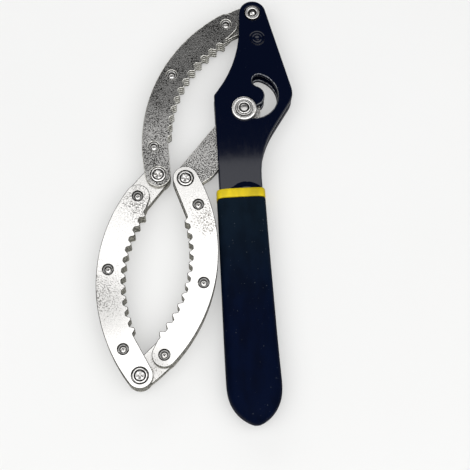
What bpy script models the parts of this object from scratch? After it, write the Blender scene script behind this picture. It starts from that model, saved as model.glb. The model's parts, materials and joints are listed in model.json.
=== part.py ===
"""Plate-type oil filter wrench with three hinged toothed jaws, lying flat and folded.

The grip's centre line is the Y axis of the handle frame, with the grip's tip at y = 0 and
the top pivot at the far end. All pieces share one middle plane. Lengths below are in
millimetres and are turned into metres when a mesh or a place is made.
"""
import math

import bmesh
import bpy
from mathutils import Vector

MM = 0.001

# ---- driving dimensions, millimetres and degrees -------------------------------------------
GAP = 0.3                     # between faces that would touch
HALF_HEIGHT = 6.8             # middle plane above the surface it lies on
BOX_CENTRE = (-21.52, 108.86)   # centre of the whole outline, in the handle frame

PIVOT_SPAN = 100.0            # pivot to pivot in each jaw
TAIL_SPAN = 46.9              # pivot to slot bolt in the tail link
TOP_PIVOT = (12.0, 210.6)
BOLT_SEAT = (4.3, 157.7)      # lower of the two seats in the slot
JAW_A_ANGLE = 238.6           # direction from the top pivot to jaw A's far pivot
TAIL_ANGLE = 48.46            # direction from the tail pivot to the slot bolt

# jaw plates
PLATE = 2.0                   # thickness of one jaw or tail plate
EYE_RADIUS = 6.2
EDGE_CENTRE_Y = 56.0          # centre of the outer edge's arc, above the pivot line
JAW_RIVETS = ((11.9, -9.0), (50.0, -19.8), (88.1, -9.0))
ROOT_CENTRE_Y = 49.2          # centre of the circle through the tooth roots
ROOT_RADIUS = 62.4
TOOTH_DEPTH = 1.9
TOOTH_PITCH = 5.0             # degrees
TOOTH_COUNT = 12
ROOT_FLAT = 0.75              # half width of a tooth root, degrees
TIP_FLAT = 0.5                # half width of a tooth tip, degrees

# tail link, about its pivot and with the slot bolt on its X axis
TAIL_SHOULDER = (9.0, -9.2)   # where the lower edge leaves the tail pivot's eye
TAIL_HEEL = (32.9, -9.8)      # where it turns round the slot bolt's end
TAIL_END = 8.4                # radius of that end
TAIL_END_TURN = 130           # degrees at which that end meets the upper edge

# handle plates
FORK_HALF = 2.6               # half of the space between the handle plates
HANDLE_PLATE = 2.4
HEAD_RADIUS = 6.8
HEAD_LEFT = (3.0, 182.9)      # corners of the head's sides, before their fillets
HEAD_RIGHT = (30.04, 163.7)
NECK_LEFT = -10.3
SHOULDER_LEFT = 165.9         # where the neck's left side meets the head
NECK_BEND = 135.2             # where the neck's right side bends out to the head
NECK_RIGHT = 10.7
NECK_TOP = 114.7              # where the neck narrows to the tang
TANG_TOP = 109.2
TANG_HALF = 9.2
TANG_END = 17.0
TANG_POINT = 12.0             # length of the tang's pointed end
FLANGE = 2.2                  # thickness of the turned-in edges inside the grip
FLANGE_SPAN = (34.0, 104.0)
SLOT_CENTRE = (9.7, 164.6)
SLOT_HALF = 3.3
SLOT_TOP_ANGLE = 70.0
SPACER_PLACE = (13.5, 196.3)
TANG_RIVETS = ((0.0, 96.0), (0.0, 36.0))

# fasteners
HOLE_SIDES = 12
PIVOT_HOLE = 3.2
PIVOT_HEAD_HOLE = 4.0
RIVET_HOLE = 2.1
RIVET_HEAD_HOLE = 2.6
HEAD_SEAT = 1.0               # depth of a counterbored head seat
SPACER_HOLE = 2.5
SPACER_HEAD_HOLE = 3.5
SPACER_RADIUS = 4.5
BOLT_SHANK = 2.9
BOLT_COLLAR = 4.2             # radius of the bolt's back end
BOLT_HEAD = 4.4
BOLT_HEAD_HEIGHT = 0.5
BOLT_CROWN = ((3.1, 0.0), (2.7, -0.3), (2.1, -0.1), (1.2, 0.3), (0.0, 0.4))   # above the head
WASHER_RADIUS = 6.2
WASHER_FRONT = 0.9            # thickness
WASHER_BACK = 0.5
RIVET_SUNK = 0.35             # jaw rivet heads below their plate, pivot heads above it
TOP_PIVOT_PROUD = 0.6
RIVET_DIMPLE = 1.5            # radius and depth of the dimple in a rivet head
PIVOT_DIMPLE = 0.9
TOP_PIVOT_DIMPLE = 1.9
CROSS_RIVET_DIMPLE = 1.0

# grip
GRIP_TOP_HALF_WIDTH = 11.9
GRIP_SWELL = 1.25             # how much wider each side is where the pointed end begins
SWELL_POWER = 1.2
TIP_LEAN = 0.6                # how far the grip's end leans towards +X
LEAN_START = 50.0
GRIP_END = 21.0               # length of the pointed end
END_WIDTH_POWERS = (2.7, 0.72)      # how its sides and its faces round off towards the tip
END_HEIGHT_POWERS = (5.0, 0.5)
GRIP_TOP = 110.6
RING_TOP = 115.4
MOUTH_HALF_WIDTH = 10.98
CAVITY_HALF_WIDTH = 9.6
CAVITY_TOP = 108.8            # where the cavity widens to the mouth
CAVITY_END_HALF = 2.4
GRIP_STATIONS = (0.35, 1.2, 2.6, 4.6, 7.5, 11, 15.5, GRIP_END, 35, 55, 80, 96, GRIP_TOP)
SQUARING_START = 80.0         # from here up the grip's section grows squarer
BODY_SQUARENESS = 3.6
TOP_SQUARENESS = 5.0

# ---- heights above the middle plane ---------------------------------------------------------
INNER_LOW = GAP / 2
INNER_TOP = INNER_LOW + PLATE
OUTER_LOW = INNER_TOP + GAP
OUTER_TOP = OUTER_LOW + PLATE
HANDLE_TOP = FORK_HALF + HANDLE_PLATE

COLOURS = {
    "bright_steel": ((0.78, 0.77, 0.75), 0.28, 1.0),
    "grey_steel": ((0.36, 0.36, 0.36), 0.38, 1.0),
    "black_paint": ((0.012, 0.014, 0.022), 0.22, 0.0),
    "grip_vinyl": ((0.010, 0.012, 0.024), 0.55, 0.0),
    "ring_vinyl": ((0.85, 0.66, 0.02), 0.45, 0.0),
}


# ---- plane geometry ---------------------------------------------------------------------------
def polar(centre, radius, degrees):
    """Point at an angle on a circle."""
    angle = math.radians(degrees)
    return (centre[0] + radius * math.cos(angle), centre[1] + radius * math.sin(angle))


def arc(centre, radius, start, end, steps):
    """Points along an arc, ends included."""
    return [polar(centre, radius, start + (end - start) * i / steps) for i in range(steps + 1)]


def bearing(a, b):
    """Direction from a to b in degrees."""
    return math.degrees(math.atan2(b[1] - a[1], b[0] - a[0]))


def filleted(corners, steps):
    """Closed outline from (x, y, fillet radius) corners."""
    points = []
    for i, (x, y, radius) in enumerate(corners):
        here = Vector((x, y))
        before = (Vector(corners[i - 1][:2]) - here).normalized()
        after = (Vector(corners[(i + 1) % len(corners)][:2]) - here).normalized()
        if radius == 0:
            points.append((x, y))
            continue
        half = before.angle(after) / 2
        centre = here + (before + after).normalized() * radius / math.sin(half)
        first = here + before * radius / math.tan(half)
        last = here + after * radius / math.tan(half)
        start = bearing(centre, first)
        turn = (bearing(centre, last) - start + 180) % 360 - 180
        points += arc(centre, radius, start, start + turn, steps)
    return points


def tangent_angle(point, centre, radius, side):
    """Where a line from a point touches a circle, as an angle about its centre."""
    reach = math.dist(point, centre)
    return bearing(centre, point) + side * math.degrees(math.acos(radius / reach))


# ---- meshes -----------------------------------------------------------------------------------
def metres(x, y, z):
    return (x * MM, y * MM, z * MM)


def prism(outline, low, high):
    """Mesh of an outline (anticlockwise) extruded between two heights."""
    mesh = bpy.data.meshes.new("prism")
    bm = bmesh.new()
    bottom = bm.faces.new([bm.verts.new(metres(x, y, low)) for x, y in reversed(outline)])
    grown = bmesh.ops.extrude_face_region(bm, geom=[bottom], use_keep_orig=True)
    raised = [item for item in grown["geom"] if isinstance(item, bmesh.types.BMVert)]
    bmesh.ops.translate(bm, verts=raised, vec=metres(0, 0, high - low))
    bmesh.ops.recalc_face_normals(bm, faces=bm.faces)
    bm.to_mesh(mesh)
    bm.free()
    return mesh


def turned(profile, segments):
    """Mesh turned about Z from (radius, height) points that run from bottom to top."""
    mesh = bpy.data.meshes.new("turned")
    bm = bmesh.new()
    rings = []
    for radius, height in profile:
        if radius == 0:
            rings.append([bm.verts.new(metres(0, 0, height))])
        else:
            turns = [360 * i / segments for i in range(segments)]
            rings.append([bm.verts.new(metres(*polar((0, 0), radius, t), height)) for t in turns])
    closed = profile[0][0] != 0
    pairs = list(zip(rings, rings[1:] + rings[:1] if closed else rings[1:]))
    for low, high in pairs:
        for i in range(segments):
            j = (i + 1) % segments
            if len(low) == 1:
                bm.faces.new((low[0], high[j], high[i]))
            elif len(high) == 1:
                bm.faces.new((low[i], low[j], high[0]))
            else:
                bm.faces.new((low[i], low[j], high[j], high[i]))
    bmesh.ops.recalc_face_normals(bm, faces=bm.faces)
    bm.to_mesh(mesh)
    bm.free()
    return mesh


def loft(sections):
    """Closed mesh through rings of points of equal length."""
    mesh = bpy.data.meshes.new("loft")
    bm = bmesh.new()
    rings = [[bm.verts.new(metres(*point)) for point in ring] for ring in sections]
    for low, high in zip(rings, rings[1:]):
        for i in range(len(low)):
            j = (i + 1) % len(low)
            bm.faces.new((low[i], low[j], high[j], high[i]))
    bm.faces.new(list(reversed(rings[0])))
    bm.faces.new(rings[-1])
    bmesh.ops.recalc_face_normals(bm, faces=bm.faces)
    bm.to_mesh(mesh)
    bm.free()
    return mesh


def joined(base, tools, operation):
    """Mesh after exact booleans of a base mesh with (tool mesh, place) pairs."""
    body = bpy.data.objects.new("base", base)
    bpy.context.scene.collection.objects.link(body)
    helpers = [body]
    for mesh, place in tools:
        tool = bpy.data.objects.new("tool", mesh)
        tool.location = metres(*place)
        bpy.context.scene.collection.objects.link(tool)
        helpers.append(tool)
        step = body.modifiers.new("cut", "BOOLEAN")
        step.operation = operation
        step.solver = "EXACT"
        step.object = tool
    bpy.context.view_layer.update()
    seen = body.evaluated_get(bpy.context.evaluated_depsgraph_get())
    result = bpy.data.meshes.new_from_object(seen)
    for helper in helpers:
        bpy.data.objects.remove(helper)
    return result


def seat(shank, head, low, high, side):
    """Cutter for a hole with a counterbored head seat on one face of a plate."""
    if side > 0:
        floor = high - HEAD_SEAT
        profile = [(0, low - 1), (shank, low - 1), (shank, floor), (head, floor),
                   (head, high + 1), (0, high + 1)]
    else:
        floor = low + HEAD_SEAT
        profile = [(0, low - 1), (head, low - 1), (head, floor), (shank, floor),
                   (shank, high + 1), (0, high + 1)]
    return turned(profile, HOLE_SIDES)


def hole(radius, low, high):
    """Cutter for a plain hole through a plate."""
    profile = [(0, low - 1), (radius, low - 1), (radius, high + 1), (0, high + 1)]
    return turned(profile, HOLE_SIDES)


# ---- objects ----------------------------------------------------------------------------------
def material(name, finish):
    colour, roughness, metallic = COLOURS[finish]
    made = bpy.data.materials.new(name)
    made.use_nodes = True
    shader = made.node_tree.nodes["Principled BSDF"]
    shader.inputs["Base Color"].default_value = (*colour, 1)
    shader.inputs["Roughness"].default_value = roughness
    shader.inputs["Metallic"].default_value = metallic
    return made


def piece(name, mesh, finish, parent, place=(0, 0, 0)):
    """One named object of the assembly."""
    own = mesh.copy()
    own.name = name
    own.materials.clear()
    own.materials.append(material(name, finish))
    own.shade_smooth()
    own.set_sharp_from_angle(angle=math.radians(30))
    made = bpy.data.objects.new(name, own)
    bpy.context.scene.collection.objects.link(made)
    made.parent = parent
    made.location = metres(*place)
    return made


def axis_empty(name, parent, place, degrees):
    """Empty on a joint's axis, turned to the moving piece's own frame."""
    made = bpy.data.objects.new(name, None)
    bpy.context.scene.collection.objects.link(made)
    made.parent = parent
    made.location = metres(*place)
    made.rotation_euler = (0, 0, math.radians(degrees))
    return made


# ---- jaws -------------------------------------------------------------------------------------
def jaw_outline():
    """Outline of a jaw plate with its eye at the far pivot, teeth on the +Y side."""
    edge_centre = (PIVOT_SPAN / 2, EDGE_CENTRE_Y)
    root_centre = (PIVOT_SPAN / 2, ROOT_CENTRE_Y)
    eye = (PIVOT_SPAN, 0)
    edge_radius = math.dist(edge_centre, eye) + EYE_RADIUS
    foot = JAW_RIVETS[0]
    foot_radius = edge_radius - math.dist(edge_centre, foot)
    points = []
    # teeth, from the foot's end to the eye
    first = 270 - TOOTH_PITCH * TOOTH_COUNT / 2
    for i in range(TOOTH_COUNT + 1):
        root = first + TOOTH_PITCH * i
        points.append(polar(root_centre, ROOT_RADIUS, root - ROOT_FLAT))
        points.append(polar(root_centre, ROOT_RADIUS, root + ROOT_FLAT))
        if i < TOOTH_COUNT:
            tip = root + TOOTH_PITCH / 2
            points.append(polar(root_centre, ROOT_RADIUS - TOOTH_DEPTH, tip - TIP_FLAT))
            points.append(polar(root_centre, ROOT_RADIUS - TOOTH_DEPTH, tip + TIP_FLAT))
    # round the eye, clockwise from its toothed side to the outer edge
    eye_start = tangent_angle(points[-1], eye, EYE_RADIUS, -1)
    eye_end = bearing(edge_centre, eye)
    while eye_start < eye_end:
        eye_start += 360
    points += arc(eye, EYE_RADIUS, eye_start, eye_end, 9)
    # outer edge, then the foot round its rivet
    foot_start = bearing(edge_centre, foot)
    outer = arc(edge_centre, edge_radius, eye_end, foot_start, 12)
    points += outer[1:-1]
    foot_end = tangent_angle(points[0], foot, foot_radius, 1)
    while foot_end > foot_start:
        foot_end -= 360
    points += arc(foot, foot_radius, foot_start, foot_end, 9)
    return list(reversed(points))


def jaw_meshes():
    """Plate meshes keyed by (outer or inner, front or back)."""
    outline = jaw_outline()
    flipped = [(PIVOT_SPAN - x, y) for x, y in reversed(outline)]
    meshes = {}
    for side, face in ((1, "front"), (-1, "back")):
        low, high = sorted((side * OUTER_LOW, side * OUTER_TOP))
        cuts = [(seat(RIVET_HOLE, RIVET_HEAD_HOLE, low, high, side), (x, y, 0))
                for x, y in JAW_RIVETS]
        cuts.append((seat(PIVOT_HOLE, PIVOT_HEAD_HOLE, low, high, side), (PIVOT_SPAN, 0, 0)))
        meshes["outer", face] = joined(prism(outline, low, high), cuts, "DIFFERENCE")
        low, high = sorted((side * INNER_LOW, side * INNER_TOP))
        cuts = [(hole(RIVET_HOLE, low, high), (x, y, 0)) for x, y in JAW_RIVETS]
        cuts.append((hole(PIVOT_HOLE, low, high), (0, 0, 0)))
        meshes["inner", face] = joined(prism(flipped, low, high), cuts, "DIFFERENCE")
    return meshes


def flush_rivet(shank, head, seat_floor, top, dimple):
    """Rivet with a flush head at each end and a drilled dimple in each head."""
    half = [(dimple, top), (head, top), (head, seat_floor), (shank, seat_floor)]
    lower = [(radius, -height) for radius, height in half]
    profile = [(0, -top + dimple)] + lower + list(reversed(half)) + [(0, top - dimple)]
    return turned(profile, HOLE_SIDES)


def build_jaw(letter, meshes, parent, place, degrees, finish):
    """One jaw: two inner and two outer plates, three rivets and its far pivot's rivet."""
    name = "jaw_" + letter
    axis = axis_empty(name + "_axis", parent, place, degrees)
    for layer in ("outer", "inner"):
        for face in ("front", "back"):
            piece("%s_%s_%s_plate" % (name, layer, face), meshes[layer, face], finish, axis)
    head_floor = OUTER_TOP - HEAD_SEAT + GAP
    rivet = flush_rivet(RIVET_HOLE - GAP, RIVET_HEAD_HOLE - GAP, head_floor,
                        OUTER_TOP - RIVET_SUNK, RIVET_DIMPLE)
    for label, (x, y) in zip(("near", "middle", "far"), JAW_RIVETS):
        piece("%s_%s_rivet" % (name, label), rivet, finish, axis, (x, y, 0))
    pin = flush_rivet(PIVOT_HOLE - GAP, PIVOT_HEAD_HOLE - GAP, head_floor,
                      OUTER_TOP + RIVET_SUNK, PIVOT_DIMPLE)
    piece(name + "_pivot_rivet", pin, "bright_steel", axis, (PIVOT_SPAN, 0, 0))
    return axis


# ---- tail link and slot bolt ------------------------------------------------------------------
def build_tail(parent, degrees):
    """Wide link of two plates between the last jaw and the slot bolt."""
    axis = axis_empty("tail_link_axis", parent, (PIVOT_SPAN, 0, 0), degrees)
    lower_start = tangent_angle(TAIL_SHOULDER, (0, 0), EYE_RADIUS, -1)
    outline = arc((0, 0), EYE_RADIUS, 90, lower_start + 360, 10)
    outline += [TAIL_SHOULDER, TAIL_HEEL]
    outline += arc((TAIL_SPAN, 0), TAIL_END, -90, TAIL_END_TURN, 12)
    for side, face in ((1, "front"), (-1, "back")):
        low, high = sorted((side * INNER_LOW, side * INNER_TOP))
        cuts = [(hole(PIVOT_HOLE, low, high), (0, 0, 0)),
                (hole(PIVOT_HOLE, low, high), (TAIL_SPAN, 0, 0))]
        mesh = joined(prism(outline, low, high), cuts, "DIFFERENCE")
        piece("tail_link_%s_plate" % face, mesh, "grey_steel", axis)
    return axis


def build_slot_bolt(tail):
    """Headed pin through the handle's slots, with a washer on each face."""
    place = (TAIL_SPAN, 0, 0)
    washer_low = HANDLE_TOP + GAP
    head_low = washer_low + WASHER_FRONT + GAP
    head_top = head_low + BOLT_HEAD_HEIGHT
    collar = -(washer_low + WASHER_BACK + GAP)
    end = -head_low
    bolt = turned([(0, end - 0.1), (BOLT_COLLAR - 1, end - 0.1), (BOLT_COLLAR, end),
                   (BOLT_COLLAR, collar), (BOLT_SHANK, collar), (BOLT_SHANK, head_low),
                   (BOLT_HEAD, head_low), (BOLT_HEAD, head_top)]
                  + [(radius, head_top + rise) for radius, rise in BOLT_CROWN], 20)
    piece("slot_bolt", bolt, "bright_steel", tail, place)
    inner = BOLT_SHANK + GAP
    for face, side, thick in (("front", 1, WASHER_FRONT), ("back", -1, WASHER_BACK)):
        low, high = side * washer_low, side * (washer_low + thick)
        edge = high - side * 0.2
        washer = turned([(inner, low), (WASHER_RADIUS, low), (WASHER_RADIUS, edge),
                         (WASHER_RADIUS - 0.25, high), (inner, high)], 24)
        piece("slot_washer_" + face, washer, "bright_steel", tail, place)


# ---- handle -----------------------------------------------------------------------------------
def handle_outline():
    """Outline of a handle plate: round head, cranked body, neck and tang."""
    head_left = tangent_angle(HEAD_LEFT, TOP_PIVOT, HEAD_RADIUS, -1)
    head_right = tangent_angle(HEAD_RIGHT, TOP_PIVOT, HEAD_RADIUS, 1)
    while head_left < head_right:
        head_left += 360
    point = TANG_END + TANG_POINT
    corners = [
        (*HEAD_LEFT, 60), (NECK_LEFT, SHOULDER_LEFT, 2.5), (NECK_LEFT, NECK_TOP, 2),
        (-TANG_HALF, TANG_TOP, 2), (-TANG_HALF, point, 14), (0, TANG_END, 3),
        (TANG_HALF, point, 14), (TANG_HALF, TANG_TOP, 2), (NECK_RIGHT, NECK_TOP, 2),
        (NECK_RIGHT, NECK_BEND, 46), (*HEAD_RIGHT, 11),
    ]
    left = polar(TOP_PIVOT, HEAD_RADIUS, head_left)
    right = polar(TOP_PIVOT, HEAD_RADIUS, head_right)
    body = filleted([(*left, 0)] + corners + [(*right, 0)], 5)
    cap = arc(TOP_PIVOT, HEAD_RADIUS, head_right, head_left, 12)
    return body + cap[1:-1]


def slot_outline():
    """Closed outline of the arc-shaped slot, a seat at each end."""
    radius = math.dist(SLOT_CENTRE, BOLT_SEAT)
    low = bearing(SLOT_CENTRE, BOLT_SEAT)
    top = polar(SLOT_CENTRE, radius, SLOT_TOP_ANGLE)
    return (arc(SLOT_CENTRE, radius + SLOT_HALF, low, SLOT_TOP_ANGLE, 16)
            + arc(top, SLOT_HALF, SLOT_TOP_ANGLE, SLOT_TOP_ANGLE + 180, 6)[1:]
            + arc(SLOT_CENTRE, radius - SLOT_HALF, SLOT_TOP_ANGLE, low, 12)[1:]
            + arc(BOLT_SEAT, SLOT_HALF, low + 180, low + 360, 6)[1:-1])


def build_handle(root):
    """Two pressed plates, their fasteners, the grip and its ring."""
    outline = handle_outline()
    slot = slot_outline()
    flange_length = FLANGE_SPAN[1] - FLANGE_SPAN[0]
    for side, face in ((1, "front"), (-1, "back")):
        low, high = sorted((side * FORK_HALF, side * HANDLE_TOP))
        web = prism(outline, low, high)
        near, far = sorted((side * INNER_LOW, side * (FORK_HALF + 1)))
        strip = [(-FLANGE / 2, 0), (FLANGE / 2, 0),
                 (FLANGE / 2, flange_length), (-FLANGE / 2, flange_length)]
        edge = TANG_HALF - FLANGE / 2 - 0.05
        flanges = [(prism(strip, near, far), (x, FLANGE_SPAN[0], 0)) for x in (-edge, edge)]
        body = joined(web, flanges, "UNION")
        cuts = [(prism(slot, low - 1, high + 1), (0, 0, 0)),
                (seat(PIVOT_HOLE, PIVOT_HEAD_HOLE, low, high, side), (*TOP_PIVOT, 0))]
        for place in (SPACER_PLACE, *TANG_RIVETS):
            cuts.append((seat(SPACER_HOLE, SPACER_HEAD_HOLE, low, high, side), (*place, 0)))
        piece("handle_%s_plate" % face, joined(body, cuts, "DIFFERENCE"), "black_paint", root)
    head_floor = HANDLE_TOP - HEAD_SEAT + GAP
    pin = flush_rivet(PIVOT_HOLE - GAP, PIVOT_HEAD_HOLE - GAP, head_floor,
                      HANDLE_TOP + TOP_PIVOT_PROUD, TOP_PIVOT_DIMPLE)
    piece("top_pivot_rivet", pin, "bright_steel", root, (*TOP_PIVOT, 0))
    cross = flush_rivet(SPACER_HOLE - GAP, SPACER_HEAD_HOLE - GAP, head_floor, HANDLE_TOP,
                        CROSS_RIVET_DIMPLE)
    piece("fork_spacer_rivet", cross, "black_paint", root, (*SPACER_PLACE, 0))
    for label, place in zip(("upper", "lower"), TANG_RIVETS):
        piece("tang_%s_rivet" % label, cross, "grey_steel", root, (*place, 0))
    reach = FORK_HALF - GAP
    tube = turned([(SPACER_HOLE + 0.2, -reach), (SPACER_RADIUS, -reach),
                   (SPACER_RADIUS, reach), (SPACER_HOLE + 0.2, reach)], 16)
    piece("fork_spacer", tube, "black_paint", root, (*SPACER_PLACE, 0))


def squircle(half_width, half_height, power, y, lean=0.0, count=32):
    """Ring of points on a rounded rectangle in the plane of one y, moved sideways by lean."""
    ring = []
    for i in range(count):
        angle = 2 * math.pi * (i + 0.5) / count
        c, s = math.cos(angle), math.sin(angle)
        x = math.copysign(abs(c) ** (2 / power), c) * half_width
        z = math.copysign(abs(s) ** (2 / power), s) * half_height
        ring.append((x + lean, y, z))
    return ring


def grip_section(y):
    """Half width, half height, squareness and sideways lean of the grip at one y."""
    along = max(0.0, (GRIP_END - y) / GRIP_END)
    swell = min(1.0, (GRIP_TOP - y) / (GRIP_TOP - GRIP_END)) ** SWELL_POWER
    inward, fullness = END_WIDTH_POWERS
    width = (GRIP_TOP_HALF_WIDTH + GRIP_SWELL * swell) * (1 - along ** inward) ** fullness
    inward, fullness = END_HEIGHT_POWERS
    height = HALF_HEIGHT * (1 - along ** inward) ** fullness
    square = max(0.0, (y - SQUARING_START) / (GRIP_TOP - SQUARING_START))
    power = BODY_SQUARENESS + (TOP_SQUARENESS - BODY_SQUARENESS) * square
    lean = TIP_LEAN * max(0.0, (LEAN_START - y) / LEAN_START) ** 2
    return width, height, power, lean


def build_grip(root):
    """Vinyl sleeve over the tang and the coloured ring at its mouth."""
    sections = []
    for y in GRIP_STATIONS:
        width, height, power, lean = grip_section(y)
        sections.append(squircle(width, height, power, y, lean))
    clear = HANDLE_TOP + GAP
    past = RING_TOP + 3
    point, end = TANG_END + TANG_POINT - 2, TANG_END - 1.2
    right = [(CAVITY_END_HALF, end), (CAVITY_HALF_WIDTH, point), (CAVITY_HALF_WIDTH, CAVITY_TOP),
             (MOUTH_HALF_WIDTH, NECK_TOP), (MOUTH_HALF_WIDTH, past)]
    cavity = right + [(-x, y) for x, y in reversed(right)]
    hollow = prism(cavity, -clear, clear)
    sleeve = joined(loft(sections), [(hollow, (0, 0, 0))], "DIFFERENCE")
    piece("grip_sleeve", sleeve, "grip_vinyl", root)
    ring = [squircle(GRIP_TOP_HALF_WIDTH + inset, HALF_HEIGHT - 0.1 + inset, TOP_SQUARENESS, y)
            for y, inset in ((GRIP_TOP + GAP, 0.0), (GRIP_TOP + 0.7, 0.1),
                             (RING_TOP - 0.5, 0.1), (RING_TOP, -0.1))]
    band = joined(loft(ring), [(hollow, (0, 0, 0))], "DIFFERENCE")
    piece("grip_ring", band, "ring_vinyl", root)


# ---- assembly ---------------------------------------------------------------------------------
def rest_angles():
    """Directions of jaws B and C that close the chain onto the tail pivot."""
    first = polar(TOP_PIVOT, PIVOT_SPAN, JAW_A_ANGLE)
    last = polar(BOLT_SEAT, -TAIL_SPAN, TAIL_ANGLE)
    half = math.degrees(math.acos(math.dist(first, last) / 2 / PIVOT_SPAN))
    across = bearing(first, last)
    return across - half, across + half


def build():
    for old in list(bpy.data.objects):
        bpy.data.objects.remove(old)
    root = axis_empty("wrench_frame", None, (-BOX_CENTRE[0], -BOX_CENTRE[1], HALF_HEIGHT), 0)
    build_handle(root)
    build_grip(root)
    meshes = jaw_meshes()
    angle_b, angle_c = rest_angles()
    jaw_a = build_jaw("a", meshes, root, (*TOP_PIVOT, 0), JAW_A_ANGLE, "grey_steel")
    far = (PIVOT_SPAN, 0, 0)
    jaw_b = build_jaw("b", meshes, jaw_a, far, angle_b - JAW_A_ANGLE, "bright_steel")
    jaw_c = build_jaw("c", meshes, jaw_b, far, angle_c - angle_b, "bright_steel")
    tail = build_tail(jaw_c, TAIL_ANGLE - angle_c)
    build_slot_bolt(tail)
    bpy.context.view_layer.update()


build()
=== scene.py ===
"""Looks for the plate-type oil filter wrench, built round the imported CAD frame.

Shapes are drawn in millimetres with the CAD's own dimensions. A plate or rivet is drawn in its
link's frame (pivot at the origin, the next pivot on +X, middle plane at z = 0) and then placed
from the joints of the record. The grip and handle are drawn in the handle frame, where +Y runs
along the grip's centre line and the grip's tip is at y = 0.
"""
import json
import math

import bmesh
import bpy
from mathutils import Matrix, Vector
from mathutils.geometry import tessellate_polygon


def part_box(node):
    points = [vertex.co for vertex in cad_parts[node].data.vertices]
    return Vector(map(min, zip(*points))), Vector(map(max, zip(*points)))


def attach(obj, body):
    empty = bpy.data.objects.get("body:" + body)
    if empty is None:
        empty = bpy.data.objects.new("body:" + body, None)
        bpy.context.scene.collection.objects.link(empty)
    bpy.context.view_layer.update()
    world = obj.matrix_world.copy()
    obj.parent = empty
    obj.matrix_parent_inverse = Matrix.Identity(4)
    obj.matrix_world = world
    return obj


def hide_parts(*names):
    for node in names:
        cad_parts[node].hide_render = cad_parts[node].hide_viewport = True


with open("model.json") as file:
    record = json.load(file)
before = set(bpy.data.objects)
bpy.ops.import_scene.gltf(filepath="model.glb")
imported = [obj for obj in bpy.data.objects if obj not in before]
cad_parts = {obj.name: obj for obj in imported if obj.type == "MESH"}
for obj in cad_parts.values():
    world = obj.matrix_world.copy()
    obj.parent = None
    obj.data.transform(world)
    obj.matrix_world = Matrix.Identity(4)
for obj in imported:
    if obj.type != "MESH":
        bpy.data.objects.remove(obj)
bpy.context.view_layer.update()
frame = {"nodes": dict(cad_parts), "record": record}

MM = 0.001
HALF_HEIGHT = 6.8
HANDLE_PLACE = (21.52, -108.86)      # the handle frame's origin in the part's frame
SHARP_ANGLE = 38.0                   # degrees; steeper edges stay sharp in shading

# ---- the CAD's dimensions, millimetres and degrees ---------------------------------------------
PIVOT_SPAN = 100.0
TOP_PIVOT = (12.0, 210.6)
BOLT_SEAT = (4.3, 157.7)
TAIL_SPAN = 46.9
PLATE = 2.0
GAP = 0.3
INNER_LOW = GAP / 2
INNER_TOP = INNER_LOW + PLATE
OUTER_LOW = INNER_TOP + GAP
OUTER_TOP = OUTER_LOW + PLATE
EYE_RADIUS = 6.2
EDGE_CENTRE_Y = 56.0
JAW_RIVETS = ((11.9, -9.0), (50.0, -19.8), (88.1, -9.0))
ROOT_CENTRE_Y = 49.2
ROOT_RADIUS = 62.4
TOOTH_DEPTH = 1.9
TOOTH_PITCH = 5.0
TOOTH_COUNT = 12
ROOT_FLAT = 0.75
TIP_FLAT = 0.5
TAIL_SHOULDER = (9.0, -9.2)
TAIL_HEEL = (32.9, -9.8)
TAIL_END = 8.4
TAIL_END_TURN = 130
FORK_HALF = 2.6
HANDLE_TOP = 5.0
HEAD_RADIUS = 6.8
HEAD_LEFT = (3.0, 182.9)
HEAD_RIGHT = (30.04, 163.7)
SHOULDER_LEFT = 165.9
NECK_LEFT = -10.3
NECK_RIGHT = 10.7
NECK_BEND = 135.2
NECK_TOP = 114.7
TANG_TOP = 109.2
TANG_HALF = 9.2
TANG_END = 17.0
TANG_POINT = 12.0
SLOT_CENTRE = (9.7, 164.6)
SLOT_HALF = 3.3
SLOT_TOP_ANGLE = 70.0
SPACER_PLACE = (13.5, 196.3)
SPACER_RADIUS = 4.5
WASHER_RADIUS = 6.2
BOLT_SHANK = 2.9
GRIP_TOP_HALF_WIDTH = 11.9
GRIP_SWELL = 1.25
SWELL_POWER = 1.2
TIP_LEAN = 0.6
LEAN_START = 50.0
GRIP_END = 21.0
GRIP_TOP = 110.6
END_WIDTH_POWERS = (2.7, 0.72)
END_HEIGHT_POWERS = (5, 0.5)
CAVITY_TOP = 108.8
CAVITY_HALF = 9.6
CAVITY_MOUTH_HALF = 10.1
RING_TOP = 115.4
RING_MOUTH_HALF = 10.95
SQUARING_START = 80.0
BODY_SQUARENESS = 3.6
TOP_SQUARENESS = 5.0
MOUTH_SQUARENESS = 8.0
FRONT_WASHER = 0.9
BACK_WASHER = 0.5
FACE_HEIGHT = OUTER_TOP + HALF_HEIGHT      # of the jaws' front faces in the part's frame


# ---- plane geometry ------------------------------------------------------------------------------
def polar(centre, radius, degrees):
    angle = math.radians(degrees)
    return (centre[0] + radius * math.cos(angle), centre[1] + radius * math.sin(angle))


def arc(centre, radius, start, end, steps):
    return [polar(centre, radius, start + (end - start) * i / steps) for i in range(steps + 1)]


def bearing(a, b):
    return math.degrees(math.atan2(b[1] - a[1], b[0] - a[0]))


def tangent_angle(point, centre, radius, side):
    """Where a line from a point touches a circle, as an angle about its centre."""
    reach = math.dist(point, centre)
    return bearing(centre, point) + side * math.degrees(math.acos(radius / reach))


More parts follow.
